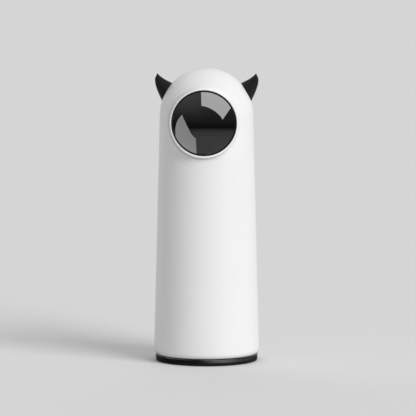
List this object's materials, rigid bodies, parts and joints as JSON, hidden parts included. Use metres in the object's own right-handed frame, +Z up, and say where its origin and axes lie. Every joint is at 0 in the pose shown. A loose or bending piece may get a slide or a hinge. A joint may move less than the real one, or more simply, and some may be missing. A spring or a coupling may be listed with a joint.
{
  "type": "automatic cat laser toy",
  "caption": "Tapered white column toy with a domed top, two black horns and a big smoked eye lens, behind which a geared turret pans and tilts a small laser.",
  "frame": {"origin": "on the column's axis, on the surface that the rubber foot stands on", "axes": "+Z up along the column, -Y forwards out of the eye, +X to the right in a front view"},
  "size_m": [0.078, 0.0846, 0.2164],
  "materials": {
    "white_shell": "satin white moulded plastic",
    "black_horn": "satin black silicone",
    "smoked_lens": "polished smoked plastic",
    "black_gloss": "glossy black plastic",
    "black_plastic": "fine textured black plastic",
    "foot_rubber": "matte black rubber",
    "gear_plastic": "natural acetal",
    "steel": "bright steel",
    "brass": "turned brass",
    "board": "green solder mask",
    "chip": "black moulding compound",
    "cell_jacket": "printed battery jacket without print",
    "clear_lens": "clear polished lens"
  },
  "bodies": {
    "housing": {"front_shell": "white_shell", "rear_shell": "white_shell", "left_horn": "black_horn", "right_horn": "black_horn", "eye_lens": "smoked_lens", "eye_gasket": "black_gloss", "eye_bezel": "white_shell", "rubber_foot": "foot_rubber", "base_ring": "black_gloss", "base_chassis": "black_plastic", "base_screws": "steel", "battery_cells": "cell_jacket", "battery_springs": "steel", "battery_contacts": "steel", "battery_holder": "black_plastic", "well_contacts": "steel", "mechanism_frame": "black_plastic", "frame_screws": "steel", "pan_motor": "steel", "pan_axle": "steel", "axle_clip": "steel", "main_board": "board", "board_parts": "chip", "board_screws": "steel", "usb_board": "board", "usb_socket": "steel", "usb_tongue": "chip", "mode_switch": "chip", "status_light": "clear_lens"},
    "turret": {"pan_gear": "gear_plastic", "turret_yoke": "black_plastic", "tilt_motor": "steel"},
    "pan_drive": {"pan_shaft": "steel", "pan_pinion": "gear_plastic"},
    "laser": {"tilt_sector": "gear_plastic", "laser_cradle": "black_plastic", "laser_module": "brass", "laser_lens": "clear_lens"},
    "tilt_drive": {"tilt_shaft": "steel", "tilt_pinion": "gear_plastic"},
    "button": {"mode_button": "white_shell", "switch_plunger": "chip"},
    "cover": {"battery_cover": "black_plastic"}
  },
  "joints": [
    {"name": "pan", "type": "hinge", "parent": "housing", "child": "turret", "pos_m": [0, -0.0084, 0.1576], "axis": [0, 0, 1], "range_deg": [-60, 60]},
    {"name": "pan_drive_spin", "type": "hinge", "parent": "housing", "child": "pan_drive", "pos_m": [0, 0.0084, 0.1576], "axis": [0, 0, 1], "range_deg": [-150, 150]},
    {"name": "tilt", "type": "hinge", "parent": "turret", "child": "laser", "pos_m": [0, -0.0084, 0.1776], "axis": [1, 0, 0], "range_deg": [-5, 35]},
    {"name": "tilt_drive_spin", "type": "hinge", "parent": "turret", "child": "tilt_drive", "pos_m": [0, -0.0084, 0.1628], "axis": [1, 0, 0], "range_deg": [-94.5, 13.5]},
    {"name": "mode_button_press", "type": "slide", "parent": "housing", "child": "button", "axis": [0, -1, 0], "range_m": [0, 0.001], "stiffness_N_per_m": 800, "springref_m": -0.0004},
    {"name": "battery_cover_twist", "type": "hinge", "parent": "housing", "child": "cover", "pos_m": [0, 0, 0.003], "axis": [0, 0, -1], "range_deg": [0, 35]}
  ],
  "couplings": [
    {"joint": "pan_drive_spin", "follows": "pan", "ratio": -2.5},
    {"joint": "tilt_drive_spin", "follows": "tilt", "ratio": -2.7}
  ]
}
